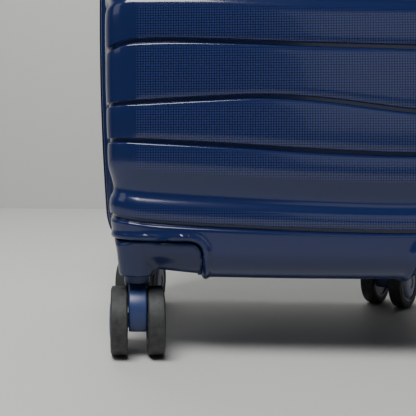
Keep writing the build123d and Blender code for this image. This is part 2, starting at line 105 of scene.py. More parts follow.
# Height of each groove's middle across the face: (x, z) in mm, left to right.
WAVE_LOW = ((-160, 114), (-120, 110), (-70, 107), (0, 104.5), (75, 103.5), (157, 107))
WAVE_A = ((-160, 174), (-80, 170.5), (0, 165), (75, 162), (157, 163.5))
WAVE_B = ((-160, 202), (-80, 205.5), (-35, 207), (10, 204), (75, 195), (157, 188))
WAVE_C = ((-160, 246), (-135, 250), (-95, 250.5), (0, 246), (75, 243), (157, 238.5))
MOTIF_RISE = 156.5            # the same three waves come again this much higher
GROOVES = (                   # nominal height, wave, how far the wave is lifted, sense
    (108.0, WAVE_LOW, 0.0, 1),
    (167.5, WAVE_A, 0.0, 1),
    (203.0, WAVE_B, 0.0, 1),
    (248.5, WAVE_C, 0.0, 1),
    (167.5 + MOTIF_RISE, WAVE_A, MOTIF_RISE, 1),
    (203.0 + MOTIF_RISE, WAVE_B, MOTIF_RISE, 1),
    (248.5 + MOTIF_RISE, WAVE_C, MOTIF_RISE, 1),
    (484.0, WAVE_LOW, 592.0, -1),
)
# Depth across a groove: height from its middle, and how deep it is there.
GROOVE_CUT = ((-3.4, 0.0), (-2.7, 0.15), (-2.1, 0.7), (-1.6, 1.7), (-1.2, 2.3), (1.4, 2.3),
              (1.75, 1.2), (2.1, 0.0))
# Depth across a scooped channel: height, and how deep it is there.
SCOOP_CUT = ((119.5, 0.0), (121, 0.25), (122.5, 1.0), (124.5, 2.4), (127, 3.5), (129.5, 3.8),
             (133, 3.3), (137, 2.4), (141, 1.4), (144, 0.6), (146.5, 0.0))
SCOOPS = (0.0, MOTIF_RISE, 2 * MOTIF_RISE)
GRAIN_HALF_WIDTH = 131.7      # the grained panels end here, and stand this much proud
PANEL_PROUD = 0.3
PILLOW = 0.3                  # how far a band bulges between its grooves


def through(points, x):
    """Smooth curve through a few points, level beyond both ends."""
    px = np.array([p[0] for p in points], float)
    pz = np.array([p[1] for p in points], float)
    slope = np.zeros(len(px))
    slope[1:-1] = (pz[2:] - pz[:-2]) / (px[2:] - px[:-2])
    x = np.clip(x, px[0], px[-1])
    i = np.clip(np.searchsorted(px, x) - 1, 0, len(px) - 2)
    span = px[i + 1] - px[i]
    t = (x - px[i]) / span
    return ((2 * t**3 - 3 * t**2 + 1) * pz[i] + (t**3 - 2 * t**2 + t) * span * slope[i]
            + (3 * t**2 - 2 * t**3) * pz[i + 1] + (t**3 - t**2) * span * slope[i + 1])


def groove_height(groove, x):
    nominal, wave, lift, sense = groove
    return lift + sense * through(wave, x)


def wave_shift(height, x):
    """How far a point at a nominal height moves so that the rows follow the grooves."""
    knots = [CUT_Z] + [g[0] for g in GROOVES] + [503.0]
    shifts = [np.zeros_like(x)] + [groove_height(g, x) - g[0] for g in GROOVES] + [np.zeros_like(x)]
    total = np.zeros_like(x)
    for low, high, a, b in zip(knots, knots[1:], shifts, shifts[1:]):
        t = (height - low) / (high - low)
        inside = (height >= low) & (height < high)
        total = np.where(inside, a + (b - a) * t, total)
    return total


def moulding_depth(height):
    """How deep the grooves and the scooped channels are at a nominal height."""
    groove = sum(np.interp(height - g[0], *zip(*GROOVE_CUT), 0, 0) for g in GROOVES)
    scoop = sum(np.interp(height - rise, *zip(*SCOOP_CUT), 0, 0) for rise in SCOOPS)
    return groove, scoop


def bands():
    """Nominal heights of the flat bands between grooves and scoops."""
    edges = [(g[0] + GROOVE_CUT[0][0], g[0] + GROOVE_CUT[-1][0]) for g in GROOVES]
    edges += [(SCOOP_CUT[0][0] + rise, SCOOP_CUT[-1][0] + rise) for rise in SCOOPS]
    edges.sort()
    return [(a[1], b[0]) for a, b in zip(edges, edges[1:]) if b[0] - a[1] > 3]


def spread(values, least=0.3):
    """Sorted values with no two closer than least."""
    kept = []
    for v in sorted(values):
        if not kept or v - kept[-1] > least:
            kept.append(v)
    return kept


def row_heights():
    """Nominal heights of the mesh rows, close together where the moulding turns."""
    low, high = CUT_Z, 2 * MID_Z - CUT_Z
    marks = list(np.arange(low, low + 14, 1.3)) + [low, high]
    for g in GROOVES:
        marks += [g[0] + p[0] for p in GROOVE_CUT] + [g[0] + 0.1, g[0] + 2.8]
    for rise in SCOOPS:
        marks += list(rise + np.arange(SCOOP_CUT[0][0], SCOOP_CUT[-1][0] + 1, 2.3))
    fine = spread([m for m in marks if low <= m <= high])
    filled = list(fine)
    for a, b in zip(fine, fine[1:]):
        steps = int((b - a) / 7.0)
        filled += [a + (b - a) * i / (steps + 1) for i in range(1, steps + 1)]
    return np.array(sorted(filled)) - MID_Z


ARC_COLUMNS = 10
FLAT_ARC_X = FLAT_HALF_WIDTH - FACE_BOW * 0.8 - FLAT_CORNER


def column_marks():
    """Nominal sideways places of the mesh columns across the face, left to right."""
    half = list(np.arange(0, 66, 6.0)) + list(np.arange(66, 100, 1.6)) + [104.0, FLAT_ARC_X]
    half = spread(half)
    return np.array([-v for v in half[::-1]] + half[1:])


def ring_sizes():
    """Half width, half height, corner, bow and depth of each ring, face to rim."""
    rings = [(FLAT_HALF_WIDTH, FLAT_HALF_HEIGHT, FLAT_CORNER, FACE_BOW, FACE_Y)]

    def wall(y):
        t = (FACE_Y - y) / (FACE_Y - 4.5)
        return (156 + 12 * t, 234 + 7 * t, 45 + 6 * t, FACE_BOW + (RIM_BOW - FACE_BOW) * t, y)

    turned_y = FACE_Y - ROLL * (1 - cos(ROLL_END))
    end = wall(turned_y)
    for i in range(1, 11):
        angle = ROLL_END * i / 10
        s = sin(angle) / sin(ROLL_END)
        mixed = [a + (b - a) * s for a, b in zip(rings[0][:4], end[:4])]
        rings.append((*mixed, FACE_Y - ROLL * (1 - cos(angle))))
    steps = list(np.arange(86, 56, -7.0)) + list(np.arange(52, 34, -1.6)) + [30, 24, 18, 13, RIM_Y]
    rings += [wall(y) for y in steps]
    rim = wall(RIM_Y)
    flange = {LID: 3.8, BASE: 7.0}
    return rings, rim, flange


def ring_curve(size, rows, columns):
    """Points round one ring: left rows upwards, top, right rows downwards, bottom."""
    hw, hh, corner, bow, y = size
    arc_x = hw - bow * 0.8 - corner
    top = hh - END_BOW * (arc_x / hw) ** 2
    straight = top - corner

    def side_x(z):
        over = np.clip(np.abs(z) - straight, 0, corner)
        return hw - bow * (z / hh) ** 2 - (corner - np.sqrt(corner**2 - over**2))

    start = asin(min(1.0, (rows[-1] - straight) / corner))
    angles = start + (pi / 2 - start) * np.arange(1, ARC_COLUMNS) / ARC_COLUMNS
    arc_z = straight + corner * np.sin(angles)
    arc = [(side_x(z), z) for z in arc_z]
    keep = 99.0
    limit = columns[-1]
    end_x = hw - bow * (top / hh) ** 2 - corner
    xs = np.where(np.abs(columns) <= keep, columns,
                  np.sign(columns) * (keep + (np.abs(columns) - keep) * (end_x - keep) / (limit - keep)))
    top_z = hh - END_BOW * (xs / hw) ** 2
    left = [(-side_x(z), z) for z in rows]
    across = [(-x, z) for x, z in arc] + list(zip(xs, top_z)) + [(x, z) for x, z in arc[::-1]]
    right = [(-x, z) for x, z in left]
    low_across = [(x, -z) for x, z in across]
    return left, across, right, low_across


def grid_faces(rows, columns):
    """Quads of a grid of points that are listed row by row."""
    return [(r * columns + c, r * columns + c + 1, (r + 1) * columns + c + 1, (r + 1) * columns + c)
            for r in range(rows - 1) for c in range(columns - 1)]


def ring_faces(before, after):
    """Quads between two rings of as many points."""
    n = len(before)
    return [(before[i], before[(i + 1) % n], after[(i + 1) % n], after[i]) for i in range(n)]


def base_pan(rows, columns):
    """Smooth pan: positions, nominal height and ring number of each vertex, and quads."""
    rings, rim, flange = ring_sizes()
    left, across, right, low = ring_curve(rings[0], rows, columns)
    nr, nc = len(rows), len(across) + 2
    grid = np.zeros((nr, nc, 2))
    top_line = np.array([left[-1]] + across + [right[-1]])
    low_line = np.array([left[0]] + low + [right[0]])
    left, right = np.array(left), np.array(right)
    fade = 12.0
    middle_x = top_line[:, 0]
    for r in range(nr):
        up = max(0.0, 1 - (rows[-1] - rows[r]) / fade)
        down = max(0.0, 1 - (rows[r] - rows[0]) / fade)
        z = rows[r] + up * (top_line[:, 1] - rows[-1]) + down * (low_line[:, 1] - rows[0])
        edge = np.clip((np.abs(middle_x) - 99.0) / (abs(middle_x[0]) - 99.0), 0, 1)
        stretch = (right[r][0] - middle_x[-1]) * edge * np.sign(middle_x)
        grid[r, :, 0] = middle_x + stretch
        grid[r, :, 1] = z
    points = [(x, FACE_Y, z) for line in grid for x, z in line]
    nominal = [row for row in rows for _ in range(nc)]
    ring_of = [0] * len(points)
    index = np.arange(nr * nc).reshape(nr, nc)
    quads = grid_faces(nr, nc)
    loop = ([index[r, 0] for r in range(nr)] + [index[nr - 1, c] for c in range(1, nc - 1)]
            + [index[r, nc - 1] for r in range(nr - 1, -1, -1)]
            + [index[0, c] for c in range(nc - 2, 0, -1)])
    loop_nominal = [nominal[i] for i in loop]
    previous = loop
    for number, size in enumerate(rings[1:], 1):
        l, a, rt, lo = ring_curve(size, rows, columns)
        ring = l + a + rt[::-1] + lo[::-1]
        start = len(points)
        points += [(x, size[4], z) for x, z in ring]
        nominal += loop_nominal
        ring_of += [number] * len(ring)
        current = list(range(start, start + len(ring)))
        quads += ring_faces(previous, current)
        previous = current
    return np.array(points), np.array(nominal) + MID_Z, np.array(ring_of), quads, previous


def new_mesh(name, points, faces):
    mesh = bpy.data.meshes.new(name)
    mesh.from_pydata([tuple(p) for p in points], [], [tuple(int(i) for i in f) for f in faces])
    mesh.update()
    return mesh


def normals_of(mesh):
    flat = np.zeros(len(mesh.vertices) * 3)
    mesh.vertices.foreach_get("normal", flat)
    return flat.reshape(-1, 3)


def corner_distance(x, y, z):
    """Distance in mm outwards from the corner that a housing fills, below 0 inside it."""
    dx = np.maximum((CUT_X + CUT_ARC) - np.abs(x), 0)
    dz = np.maximum(z - (CUT_Z - CUT_ARC), 0)
    flat = np.hypot(dx, dz) - CUT_ARC
    dy = CUT_Y - np.abs(y)
    outside = np.hypot(np.maximum(flat, 0), np.maximum(dy, 0))
    return np.where((flat < 0) & (dy < 0), np.maximum(flat, dy), outside)


# Raised lip round a corner opening: distance from the opening, and how proud it is there.
LIP_CUT = ((0.0, -0.9), (0.7, 0.4), (1.6, 1.5), (2.8, 2.1), (4.0, 1.9), (5.2, 1.0), (6.4, 0.1),
           (7.2, 0.0))


def slice_faces(bm, close, spot, direction):
    """Cut faces along a plane, given in mm, so that an opening's edge runs along it."""
    geom = close + list({e for f in close for e in f.edges}) + list({v for f in close for v in f.verts})
    bmesh.ops.bisect_plane(bm, geom=geom, dist=1e-6, plane_co=Vector(spot) * MM,
                           plane_no=Vector(direction))


def outward_of(curve):
    """Unit vectors that point out of a closed curve of (x, z) points."""
    along = np.roll(curve, -1, axis=0) - np.roll(curve, 1, axis=0)
    out = np.stack([-along[:, 1], along[:, 0]], axis=1)
    out /= np.linalg.norm(out, axis=1)[:, None]
    return out if (out * curve).sum() > 0 else -out


def place_piece(name, mesh, body, nodes):
    """Object that rides on a body and stands for CAD nodes."""
    piece = bpy.data.objects.new(name, mesh)
    bpy.context.scene.collection.objects.link(piece)
    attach(piece, body)
    if nodes:
        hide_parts(*nodes)
    return piece


def shell(name, half, node):
    side = SIDES[half]
    points, nominal, ring_of, quads, edge = base_pan(row_heights(), column_marks())
    flange = ring_sizes()[2][half]
    steps = ((0.2, 9.35), (0.9, 9.05), (flange - 0.8, 9.0), (flange - 0.2, 8.8), (flange, 8.2),
             (flange, 6.0), (flange, 3.9), (flange - 0.2, 3.3), (flange - 0.8, 3.0))
    rim_points = points[edge]
    out = np.insert(outward_of(rim_points[:, [0, 2]]), 1, 0.0, axis=1)
    previous = edge
    for off, y in steps:
        start = len(points)
        ring = rim_points + out * off
        ring[:, 1] = y
        points = np.vstack([points, ring])
        nominal = np.concatenate([nominal, nominal[edge]])
        ring_of = np.concatenate([ring_of, np.full(len(edge), 99)])
        current = list(range(start, start + len(edge)))
        quads += ring_faces(previous, current)
        previous = current
    points[:, 2] += MID_Z
    points[:, 1] *= side
    mesh = new_mesh(name, points * MM, quads)
    normal = normals_of(mesh)
    if normal[0, 1] * side < 0:
        mesh.flip_normals()
        normal = -normal
    # moulding
    x = points[:, 0] * (1 if side < 0 else -1)
    weight = np.where(ring_of == 99, 0.0, 1.0)
    depth_in = np.abs(points[:, 1])
    near_rim = np.clip((depth_in - RIM_Y) / 9.0, 0, 1)
    weight = weight * near_rim**0.5
    shift = wave_shift(nominal, x)
    shift = np.where(ring_of == 99, 0, shift) * np.clip((depth_in - RIM_Y) / 30.0, 0, 1)
    groove, scoop = moulding_depth(nominal)
    pillow = np.zeros_like(nominal)
    for low, high in bands():
        t = np.clip((nominal - low) / (high - low), 0, 1)
        pillow += np.sin(pi * t) * PILLOW
    panel = np.clip((GRAIN_HALF_WIDTH + 1 - np.abs(points[:, 0])) / 1.2, 0, 1) * (ring_of == 0)
    in_band = np.zeros_like(nominal)
    for low, high in bands():
        in_band += np.clip((nominal - low + 0.2) / 0.6, 0, 1) * np.clip((high - nominal + 0.2) / 0.6, 0, 1)
    weight_end = np.where((nominal <= CUT_Z) | (nominal >= 2 * MID_Z - CUT_Z), 0.0, 1.0)
    depth = (groove + scoop) * weight * weight_end
    proud = (pillow + PANEL_PROUD * panel * in_band) * weight * weight_end
    moved = points.copy()
    moved[:, 2] += shift * weight_end
    inner = moved - normal * (SHELL_WALL + scoop * weight * weight_end)[:, None]
    moved = moved - normal * (depth - proud)[:, None]
    grain = in_band * panel * weight_end
    mesh.vertices.foreach_set("co", (moved * MM).ravel())
    mesh.update()
    bm = bmesh.new()
    bm.from_mesh(mesh)
    inner_layer = bm.verts.layers.float_vector.new("inner")
    out_layer = bm.verts.layers.float_vector.new("out")
    grain_layer = bm.verts.layers.float.new("grain")
    bm.verts.ensure_lookup_table()
    for v in bm.verts:
        v[inner_layer] = Vector(inner[v.index] * MM)
        v[out_layer] = Vector(normal[v.index])
        v[grain_layer] = grain[v.index]
    # corner openings, with their inner corner rounded
    planes = [((CUT_X, 0, 0), (1, 0, 0)), ((-CUT_X, 0, 0), (1, 0, 0)), ((0, 0, CUT_Z), (0, 0, 1)),
              ((0, side * CUT_Y, 0), (0, 1, 0))]
    for sign in (-1, 1):
        for k in range(1, 6):
            a = pi / 2 * k / 6
            centre = (sign * (CUT_X + CUT_ARC), 0, CUT_Z - CUT_ARC)
            spot = (centre[0] - sign * CUT_ARC * cos(a), 0, centre[2] + CUT_ARC * sin(a))
            planes.append((spot, (-sign * cos(a), 0, sin(a)), sign))
    for plane in planes:
        if len(plane) == 3:
            sign = plane[2]
            close = [f for f in bm.faces
                     if 78 * MM < sign * f.calc_center_median().x < 100 * MM
                     and 78 * MM < f.calc_center_median().z < 100 * MM
                     and abs(f.calc_center_median().y) > 60 * MM]
        else:
            close = [f for f in bm.faces if f.calc_center_median().z < 130 * MM]
        slice_faces(bm, close, *plane[:2])
    # pocket for the trolley grip
    if half == BASE:
        for spot, direction in (((TRAY_X, 0, 0), (1, 0, 0)), ((-TRAY_X, 0, 0), (1, 0, 0)),
                                ((0, TRAY_Y, 0), (0, 1, 0)), ((0, 0, TRAY_Z), (0, 0, 1))):
            slice_faces(bm, [f for f in bm.faces if f.calc_center_median().z > 470 * MM], spot, direction)
    gone = []                 # faces inside an opening
    for f in bm.faces:
        c = f.calc_center_median() / MM
        if corner_distance(c.x, c.y, c.z) < -0.02:
            gone.append(f)
        elif half == BASE and abs(c.x) < TRAY_X and c.y > TRAY_Y and c.z > TRAY_Z:
            gone.append(f)
    bmesh.ops.delete(bm, geom=gone, context="FACES")
    bm.normal_update()
    for v in bm.verts:
        if v.co.z > 115 * MM:
            continue
        c = v.co / MM
        d = max(0.0, float(corner_distance(c.x, c.y, c.z)))
        if d < LIP_CUT[-1][0]:
            v.co += v[out_layer].normalized() * float(np.interp(d, *zip(*LIP_CUT))) * MM
    # the inside face, and the edges that join the two
    outer_faces = list(bm.faces)
    border = [e for e in bm.edges if e.is_boundary]
    twin = {v: bm.verts.new(v[inner_layer]) for v in list(bm.verts)}
    for f in outer_faces:
        bm.faces.new([twin[v] for v in reversed(f.verts)])
    for e in border:
        loop = e.link_loops[0]
        a, b = loop.vert, loop.link_loop_next.vert
        bm.faces.new((b, a, twin[a], twin[b]))
    bmesh.ops.remove_doubles(bm, verts=bm.verts, dist=1e-6)
    for e in bm.edges:
        e.smooth = e.calc_face_angle(0) < radians(50)
    for f in bm.faces:
        f.smooth = True
    bm.to_mesh(mesh)
    bm.free()
    return place_piece(name, mesh, half, [node])


def srgb(text):
    """Linear colour of an sRGB hex value."""
    parts = [int(text[i:i + 2], 16) / 255 for i in (0, 2, 4)]
    return (*[p / 12.92 if p <= 0.04045 else ((p + 0.055) / 1.055) ** 2.4 for p in parts], 1.0)


def add_node(tree, kind, settings=None, links=None):
    """A node with its settings; links gives each input a socket or a value."""
    made = tree.nodes.new(kind)
    for key, value in (settings or {}).items():
        setattr(made, key, value)
    for key, value in (links or {}).items():
        if isinstance(value, bpy.types.NodeSocket):
            tree.links.new(value, made.inputs[key])
        else:
            made.inputs[key].default_value = value
    return made


def new_material(name, **principled):
    made = bpy.data.materials.new(name)
    made.use_nodes = True
    shader = made.node_tree.nodes["Principled BSDF"]
    for key, value in principled.items():
        shader.inputs[key.replace("_", " ")].default_value = value
    return made, made.node_tree, shader


# Navy polypropylene, injected and polished: a deep glossy blue.  The grain is a
# square net of fine sunk lines 1.95 mm apart.
GRAIN_PITCH = 1.95 * MM
shell_material, tree, shader = new_material(
    "polypropylene_navy_gloss", Roughness=0.16, IOR=1.46,
    Coat_Weight=0.15, Coat_Roughness=0.05)
place = add_node(tree, "ShaderNodeTexCoord")
split = add_node(tree, "ShaderNodeSeparateXYZ", links={0: place.outputs["Object"]})
lines = []
for axis in ("X", "Z"):
    turn = add_node(tree, "ShaderNodeMath", {"operation": "MULTIPLY"},
                    {0: split.outputs[axis], 1: 2 * pi / GRAIN_PITCH})
    wave = add_node(tree, "ShaderNodeMath", {"operation": "COSINE"}, {0: turn.outputs[0]})
    lines.append(wave)
high = add_node(tree, "ShaderNodeMath", {"operation": "MAXIMUM"},
                {0: lines[0].outputs[0], 1: lines[1].outputs[0]})
line = add_node(tree, "ShaderNodeMapRange", {"interpolation_type": "SMOOTHSTEP"},
                {0: high.outputs[0], 1: 0.1, 2: 0.9, 3: 0.0, 4: 1.0})
mask = add_node(tree, "ShaderNodeAttribute", {"attribute_name": "grain"})
net = add_node(tree, "ShaderNodeMath", {"operation": "MULTIPLY"},
               {0: line.outputs[0], 1: mask.outputs["Fac"]})
grain_tint = add_node(tree, "ShaderNodeMix", {"data_type": "RGBA"},
                      {0: line.outputs[0], 6: srgb("26356A"), 7: srgb("0D1533")})
tint = add_node(tree, "ShaderNodeMix", {"data_type": "RGBA"},
                {0: mask.outputs["Fac"], 6: srgb("17234C"), 7: grain_tint.outputs[2]})
tree.links.new(tint.outputs[2], shader.inputs["Base Color"])
bump = add_node(tree, "ShaderNodeBump", {"invert": True},
                {"Strength": 0.35, "Distance": 0.00012, "Height": net.outputs[0]})
tree.links.new(bump.outputs[0], shader.inputs["Normal"])

for half, node in ((LID, "front_shell"), (BASE, "rear_shell")):
    piece = shell(f"{node}_moulded", half, node)
    piece.data.materials.append(shell_material)


# ================================================================ Wheel housings
# Four satin polypropylene corner tubs, screwed in from inside.  Each has a hollow
# over the wheels and a short leg that the caster turns in.
TUB_GAP = 0.6                 # dark gap between a tub and its shell
TUB_FLOOR = ((83.0, 65.5), (119.0, 71.0))  # underside beside the leg: (x, z)
LEG_X, LEG_Y = 132.8, 81.0
LEG_HALF = (13.6, 28.0)
LEG_CORNER = 11.0
LEG_FOOT = 66.0
LEG_FLARE = 0.1               # how much wider the leg is per mm of height
HOLLOW_DEPTH = ((84, 3.5), (118, 11.0))    # hollow over the wheels: (x, depth)
HOLLOW_TOP = (73.0, 88.0)     # heights where the hollow is full and where it ends
HOLLOW_EDGE = ((131.6, 83.0), (122.0, 72.0))  # slanting fold between hollow and leg: (x, z)
RAYS = 6                      # subdivisions of the ball of rays that finds the surface
VIEWPOINT = (122.0, 74.0, 86.0)


def smooth_max(a, b, radius):
    """The larger of two distances, with the edge where they meet rounded."""
    h = np.maximum(radius - np.abs(a - b), 0) / radius
    return np.maximum(a, b) + h * h * radius / 4


def pan_distance(x, y, z):
    """Distance in mm outwards from a pan without its moulding; x and y count from 0 up."""
    t = (FACE_Y - y) / (FACE_Y - 4.5)
    hw, hh, corner, bow = 156 + 12 * t, 234 + 7 * t, 45 + 6 * t, 5 + 6 * t
    high = np.abs(z - MID_Z)
    dx = x - (hw - bow * (high / hh) ** 2 - corner)
    dz = high - (hh - END_BOW * (x / hw) ** 2 - corner)
    flat = np.hypot(np.maximum(dx, 0), np.maximum(dz, 0)) + np.minimum(np.maximum(dx, dz), 0) - corner
    u, v = flat + ROLL, y - FACE_Y + ROLL
    return np.hypot(np.maximum(u, 0), np.maximum(v, 0)) + np.minimum(np.maximum(u, v), 0) - ROLL


def tub_distance(x, y, z):
    """Distance in mm outwards from a tub with its hollow and its leg."""
    body = pan_distance(x, y, z) + TUB_GAP
    hollow = np.interp(x, *zip(*HOLLOW_DEPTH))
    low = np.clip((HOLLOW_TOP[1] - z) / (HOLLOW_TOP[1] - HOLLOW_TOP[0]), 0, 1)
    (edge_x, edge_z), (foot_x, foot_z) = HOLLOW_EDGE
    fold_x = edge_x + (z - edge_z) * (edge_x - foot_x) / (edge_z - foot_z)
    beside = np.clip((fold_x - x) / 6.0 + 0.3, 0, 1)
    hollow = hollow * low**2 * (3 - 2 * low) * beside**2 * (3 - 2 * beside)
    body = smooth_max(body, y - (FACE_Y - TUB_GAP - hollow), 2.0)
    body = smooth_max(body, np.interp(x, *zip(*TUB_FLOOR)) - z, 7.0)
    arc = np.hypot(np.maximum(CUT_X + CUT_ARC - x, 0), np.maximum(z - CUT_Z + CUT_ARC, 0))
    body = smooth_max(body, arc - CUT_ARC + TUB_GAP, 1.5)
    body = smooth_max(body, CUT_Y + TUB_GAP - y, 1.5)
    grow = LEG_FLARE * (z - LEG_FOOT)
    dx = np.abs(x - LEG_X) - (LEG_HALF[0] + grow - LEG_CORNER)
    dy = np.abs(y - LEG_Y) - (LEG_HALF[1] + grow - LEG_CORNER)
    leg = (np.hypot(np.maximum(dx, 0), np.maximum(dy, 0)) + np.minimum(np.maximum(dx, dy), 0)
           - LEG_CORNER)
    leg = smooth_max(leg, LEG_FOOT - z, 2.0)
    leg = smooth_max(leg, z - CUT_Z + 3.0, 2.0)
    return -smooth_max(-body, -leg, 7.0)


def ray_surface(distance, viewpoint, reach):
    """Mesh of the surface where a distance is 0, found along rays from a point inside."""
    bm = bmesh.new()
    bmesh.ops.create_icosphere(bm, subdivisions=RAYS, radius=1.0)
    rays = np.array([v.co[:] for v in bm.verts])
    rays /= np.linalg.norm(rays, axis=1)[:, None]
    centre = np.array(viewpoint)
    near, far = np.zeros(len(rays)), np.full(len(rays), float(reach))
    steps = np.linspace(0, reach, 90)[1:]
    found = np.zeros(len(rays), bool)
    for before, after in zip(np.append(0, steps), steps):
        spot = centre + rays * after
        out = (distance(*spot.T) > 0) & ~found
        near[out], far[out] = before, after
        found |= out
    for _ in range(18):
        middle = (near + far) / 2
        spot = centre + rays * middle[:, None]
        out = distance(*spot.T) > 0
        far = np.where(out, middle, far)
        near = np.where(out, near, middle)
    points = centre + rays * ((near + far) / 2)[:, None]
    faces = [[v.index for v in f.verts] for f in bm.faces]
    bm.free()
    return points, faces


def thickened(points, faces, normals, thick):
    """Two skins of a sheet and the edge that joins them."""
    count = len(points)
    both = np.vstack([points, points - normals * thick])
    edges = {}
    for f in faces:
        for a, b in zip(f, list(f[1:]) + [f[0]]):
            edges[(a, b)] = edges.get((a, b), 0) + 1
    rim = [(a, b) for a, b in edges if (b, a) not in edges]
    made = [tuple(f) for f in faces] + [tuple(i + count for i in reversed(f)) for f in faces]
    made += [(b, a, a + count, b + count) for a, b in rim]
    return both, made


def merge(*meshes):
    """One list of points and one of faces from several."""
    points, faces, start = [], [], 0
    for some, more in meshes:
        points.append(np.asarray(some))
        faces += [tuple(i + start for i in f) for f in more]
        start += len(some)
    return np.vstack(points), faces


def finish_piece(name, points, faces, body, nodes, material, sharp=None):
    """Object from points in mm, smooth shaded, riding on a body."""
    mesh = new_mesh(name, np.asarray(points) * MM, faces)
    bm = bmesh.new()
    bm.from_mesh(mesh)
    bmesh.ops.recalc_face_normals(bm, faces=bm.faces)
    limit = radians(sharp or 180)
    for f in bm.faces:
        f.smooth = True
    for e in bm.edges:
        e.smooth = e.calc_face_angle(0) < limit
    bm.to_mesh(mesh)
    bm.free()
    mesh.materials.append(material)
    return place_piece(name, mesh, body, nodes)


def grained_plastic(name, colour, roughness, grain, depth):
    """Moulded plastic with a fine spark-eroded grain; grain is its size in mm."""
    made, tree, shader = new_material(name, Base_Color=srgb(colour), Roughness=roughness, IOR=1.49,
                                      Coat_Roughness=0.1)
    place = add_node(tree, "ShaderNodeTexCoord")
    speck = add_node(tree, "ShaderNodeTexNoise", None,
                     {"Vector": place.outputs["Object"], "Scale": 1 / (grain * MM), "Detail": 3.0})
    broad = add_node(tree, "ShaderNodeTexNoise", None,
                     {"Vector": place.outputs["Object"], "Scale": 45.0, "Detail": 4.0})
    uneven = add_node(tree, "ShaderNodeMapRange", None,
                      {0: broad.outputs[0], 1: 0.3, 2: 0.7, 3: roughness - 0.04, 4: roughness + 0.06})
    bump = add_node(tree, "ShaderNodeBump", None,
                    {"Strength": 0.25, "Distance": depth * MM, "Height": speck.outputs[0]})
    tree.links.new(uneven.outputs[0], shader.inputs["Roughness"])
    tree.links.new(bump.outputs[0], shader.inputs["Normal"])
    return made


# Satin navy polypropylene: the mould's fine grain softens its highlights.
housing_material = grained_plastic("polypropylene_navy_satin", "142046", 0.24, 0.6, 0.05)


def tub_walls():
    """Two upright walls that close a tub towards the inside, down to the shell's floor."""
    made = []
    for fixed, run, along in ((CUT_X + 0.3, (CUT_Y + 0.3, 112.0), 1),
                              (CUT_Y + 0.3, (CUT_X + 0.3, 148.0), 0)):
        grid, count = [], 40
        for spot in np.linspace(*run, count):
            x, y = (fixed, spot) if along else (spot, fixed)
            low, high = 50.0, 120.0
            for _ in range(24):
                middle = (low + high) / 2
                inside = pan_distance(x, y, middle) < -1.2
                low, high = (low, middle) if inside else (middle, high)
            top = CUT_Z - 1.5
            if along == 0 and x < CUT_X + CUT_ARC:
                top -= CUT_ARC - sqrt(max(CUT_ARC**2 - (CUT_X + CUT_ARC - x) ** 2, 0))
            if along == 1:
                top -= CUT_ARC - 1.0
            for t in np.linspace(0, 1, 8):
                grid.append((x, y, high + (max(top, high + 1) - high) * t))
        faces = [(c * 8 + r, (c + 1) * 8 + r, (c + 1) * 8 + r + 1, c * 8 + r + 1)
                 for c in range(count - 1) for r in range(7)]
        out = (1.0, 0, 0) if along else (0, 1.0, 0)
        normal = np.tile(np.negative(out), (len(grid), 1))
        made.append(thickened(np.array(grid), faces, normal, 2.4))
    return merge(*made)


tub_points, tub_faces = merge(ray_surface(tub_distance, VIEWPOINT, 75.0), tub_walls())
for half in (LID, BASE):
    for hand, word in ((-1, "left"), (1, "right")):
        node = f"{'front' if half == LID else 'rear'}_housing_{word}"
        points = tub_points * (hand, SIDES[half], 1)
        finish_piece(f"{node}_tub", points, tub_faces, half, [node], housing_material)


# ================================================================ Casters
# Four swivel casters.  A polypropylene fork turns on the kingpin and carries two
# polyurethane tyres on blue hubs with domed caps.
CASTER_TURN = {"front_left": 4.0, "front_right": -7.0, "rear_left": -15.0, "rear_right": 138.0}
PIN_X, PIN_Y = 133.0, 80.0
TRAIL = 10.0
WHEEL_R = 27.5
TREAD_IN, TREAD_OUT = 7.9, 21.6
BORE_R = 20.6
FORK_HALF = 7.2
FORK_R = 20.0
FORK_FOOT = 21.5
NECK_R = 10.8
TURNS = 96


def lathe(profile, turns=TURNS):
    """Closed ring of quads from a closed profile of (radius, place along the axis)."""
    points, faces = [], []
    n = len(profile)
    for i in range(turns):
        a = 2 * pi * i / turns
        points += [(r * cos(a), r * sin(a), h) for r, h in profile]
    for i in range(turns):
        j = (i + 1) % turns
        faces += [(i * n + k, j * n + k, j * n + (k + 1) % n, i * n + (k + 1) % n) for k in range(n)]
    return np.array(points), faces


def rounded(corners, steps=5):
    """Profile with its corners rounded: each corner is (radius, height, rounding)."""
    made = []
    count = len(corners)
    for i, (r, h, fillet) in enumerate(corners):
        here = Vector((r, h))
        if fillet == 0:
            made.append((r, h))
            continue
        before = Vector(corners[i - 1][:2]) - here
        after = Vector(corners[(i + 1) % count][:2]) - here
        half = before.angle(after) / 2
        reach = fillet / tan(half)
        start, end = here + before.normalized() * reach, here + after.normalized() * reach
        centre = here + (before.normalized() + after.normalized()).normalized() * fillet / sin(half)
        a, b = start - centre, end - centre
        for k in range(steps + 1):
            t = k / steps
            mixed = (a * (1 - t) + b * t).normalized() * fillet
            made.append(tuple(centre + mixed))
    return made


